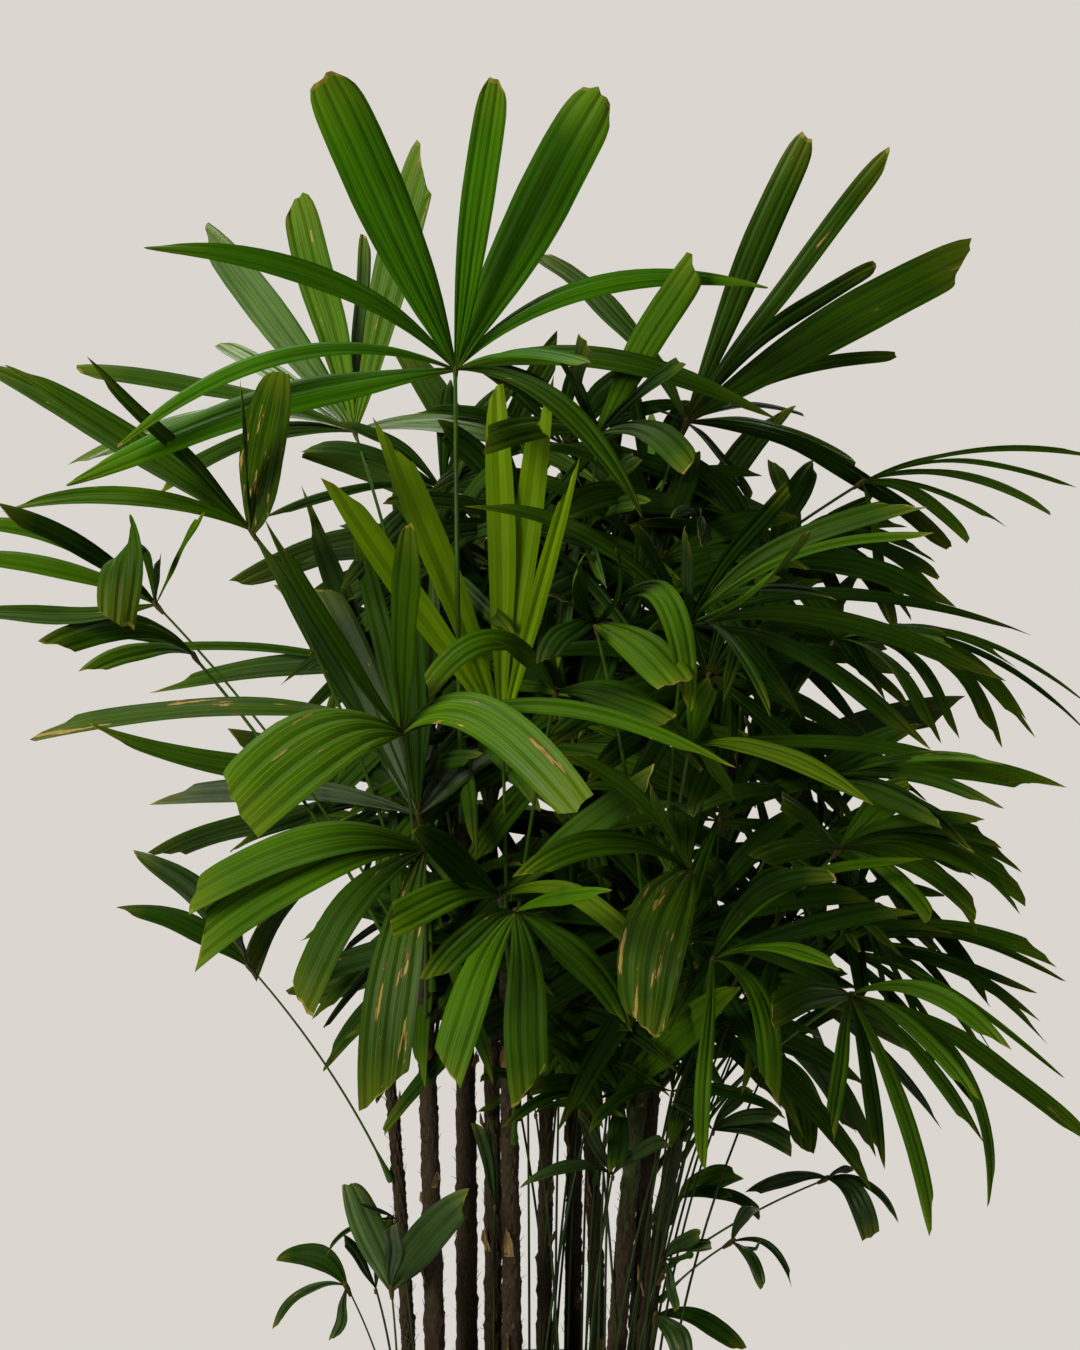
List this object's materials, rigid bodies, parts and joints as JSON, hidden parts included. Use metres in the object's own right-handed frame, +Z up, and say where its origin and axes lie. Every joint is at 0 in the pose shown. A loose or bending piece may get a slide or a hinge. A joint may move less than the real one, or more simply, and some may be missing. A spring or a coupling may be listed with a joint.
{
  "type": "lady palm",
  "caption": "Lady palm in a plain round pot: a clump of slender fibre-clad canes that bear fan-shaped fronds of long pleated fingers on thin stalks.",
  "frame": {"origin": "centre of the pot's flat underside, on the floor", "axes": "+Z up, -Y towards the side that the picture shows, +X to its right"},
  "size_m": [1.2934, 1.0457, 1.6694],
  "materials": {
    "pot": "satin",
    "soil": "matte",
    "cane": "matte",
    "frond": "satin",
    "frond_young": "satin",
    "mass": "satin"
  },
  "bodies": {
    "root": {"pot": "pot", "soil": "soil", "cane_1": "cane", "cane_2": "cane", "cane_3": "cane", "cane_4": "cane", "cane_5": "cane", "cane_6": "cane", "cane_7": "cane", "cane_8": "cane", "cane_9": "cane", "cane_10": "cane", "cane_11": "cane", "frond_crown": "frond", "frond_crown_back": "frond", "frond_left_high": "frond", "frond_left_folded": "frond", "frond_left_short": "frond", "frond_left_level": "frond", "frond_right_high": "frond", "frond_middle_high": "frond", "frond_right_fan": "frond", "frond_front_left": "frond", "frond_young": "frond_young", "frond_middle": "frond", "frond_middle_arched": "frond", "frond_left_upright": "frond", "frond_left_low": "frond", "frond_front_middle": "frond", "frond_front_low": "frond", "frond_right_front": "frond", "frond_right_bright": "frond", "frond_right_low": "frond", "frond_left_lone": "frond", "frond_right_arching": "frond", "frond_right_behind": "frond", "frond_right_wide": "frond", "frond_right_middle": "frond", "frond_right_broad": "frond", "frond_right_spray": "frond", "frond_right_hanging": "frond", "frond_right_drooping": "frond", "frond_low_middle": "frond", "frond_sucker_left": "frond", "frond_sucker_far_left": "frond", "frond_low_right": "frond", "frond_low_far_right": "frond", "frond_low_dark": "frond", "frond_low_front": "frond", "frond_far_1": "frond", "frond_far_2": "frond", "frond_far_3": "frond", "frond_far_4": "frond", "frond_far_5": "frond", "frond_far_6": "frond", "frond_far_7": "frond", "mass_upper": "mass", "mass_right": "mass", "mass_lower": "mass", "mass_left": "mass"}
  },
  "joints": []
}
